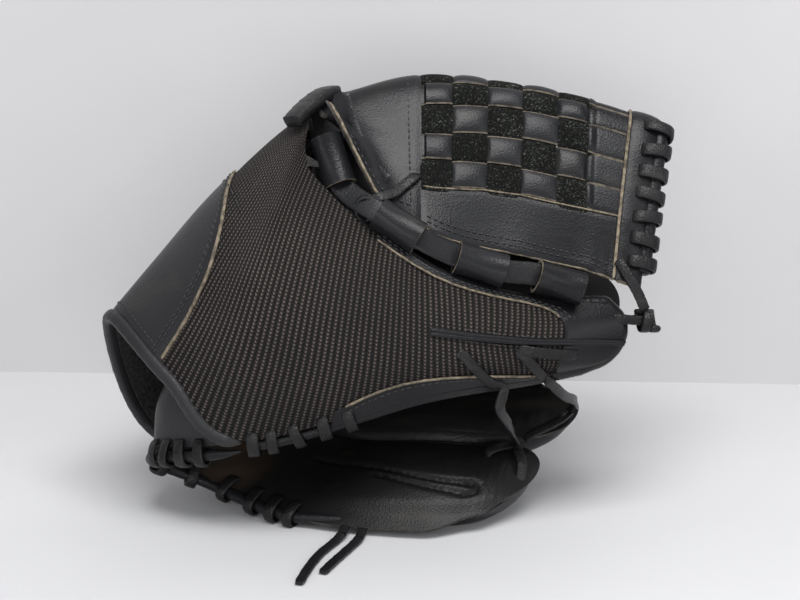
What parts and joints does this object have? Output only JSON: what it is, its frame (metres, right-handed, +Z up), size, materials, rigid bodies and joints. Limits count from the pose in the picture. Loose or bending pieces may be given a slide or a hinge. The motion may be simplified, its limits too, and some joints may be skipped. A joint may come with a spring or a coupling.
{
  "type": "baseball fielder's glove",
  "caption": "Closed black leather baseball fielder's glove with a basket-weave web, mesh thumb back and open wrist, lying on its little-finger side",
  "frame": {"origin": "middle of the flat patch under the little finger, on the table", "axes": "+X from the wrist to the fingertips, +Y from the thumb to the finger backs, +Z up"},
  "size_m": [0.3079, 0.1968, 0.2237],
  "materials": {
    "black_leather": "smooth, soft sheen",
    "palm_leather": "oiled, worn",
    "mesh_cloth": "coarse knit",
    "suede": "napped suede",
    "lining": "matt",
    "felt": "pressed felt",
    "lace": "rawhide, matt"
  },
  "bodies": {
    "hand": {"back_mesh_panel": "mesh_cloth", "crotch_gusset": "black_leather", "crotch_lace": "lace", "hand_lining": "lining", "heel_edge_lace": "lace", "heel_edge_welt": "black_leather", "index_finger_back": "black_leather", "lace_tail_left": "lace", "lace_tail_right": "lace", "middle_finger_back": "black_leather", "middle_index_welt": "black_leather", "palm_felt_pad": "felt", "palm_leather": "palm_leather", "palm_lining": "lining", "pinky_finger_back": "black_leather", "pinky_ring_welt": "black_leather", "ring_finger_back": "black_leather", "ring_middle_welt": "black_leather", "web_bar_lace": "lace", "web_bar_roll": "black_leather", "web_base": "black_leather", "web_column_1": "suede", "web_column_2": "suede", "web_column_3": "suede", "web_column_4": "suede", "web_column_5": "suede", "web_front_border": "black_leather", "web_rear_border": "black_leather", "web_rear_lace": "lace", "web_rear_tunnel_1": "black_leather", "web_rear_tunnel_2": "black_leather", "web_rear_tunnel_3": "black_leather", "web_rear_tunnel_4": "black_leather", "web_row_1": "black_leather", "web_row_2": "black_leather", "web_row_3": "black_leather", "web_row_4": "black_leather", "web_row_5": "black_leather", "web_row_6": "black_leather", "web_tie_lace": "lace", "web_top_bar": "black_leather", "wrist_binding": "black_leather", "wrist_strap": "black_leather"},
    "thumb": {"thumb_palm_leather": "palm_leather", "thumb_tip_cap": "black_leather", "thumb_mesh_panel": "mesh_cloth", "thumb_lining": "lining", "thumb_edge_welt": "black_leather", "thumb_edge_lace": "lace", "thumb_centre_welt": "black_leather", "thumb_tie_lace": "lace", "thumb_face_lace": "lace", "web_front_tunnel_1": "black_leather", "web_front_tunnel_2": "black_leather", "web_front_tunnel_3": "black_leather", "web_front_tunnel_4": "black_leather", "web_front_lace": "lace", "corner_lace": "lace", "corner_knot": "lace"}
  },
  "joints": [
    {"name": "thumb_fold", "type": "hinge", "parent": "hand", "child": "thumb", "pos_m": [-0.055, 0, 0.112], "axis": [0.3081, 0.2788, 0.9096], "range_deg": [-6, 12], "stiffness_Nm_per_rad": 6, "deforming": ["thumb_mesh_panel", "thumb_tie_lace", "web_bar_lace", "web_bar_roll", "web_base", "web_column_1", "web_column_2", "web_column_3", "web_column_4", "web_column_5", "web_front_border", "web_front_lace", "web_front_tunnel_1", "web_front_tunnel_2", "web_front_tunnel_3", "web_front_tunnel_4", "web_rear_border", "web_rear_lace", "web_rear_tunnel_1", "web_rear_tunnel_2", "web_rear_tunnel_3", "web_rear_tunnel_4", "web_row_1", "web_row_2", "web_row_3", "web_row_4", "web_row_5", "web_row_6", "web_tie_lace", "web_top_bar", "corner_lace", "corner_knot", "crotch_lace"]}
  ]
}
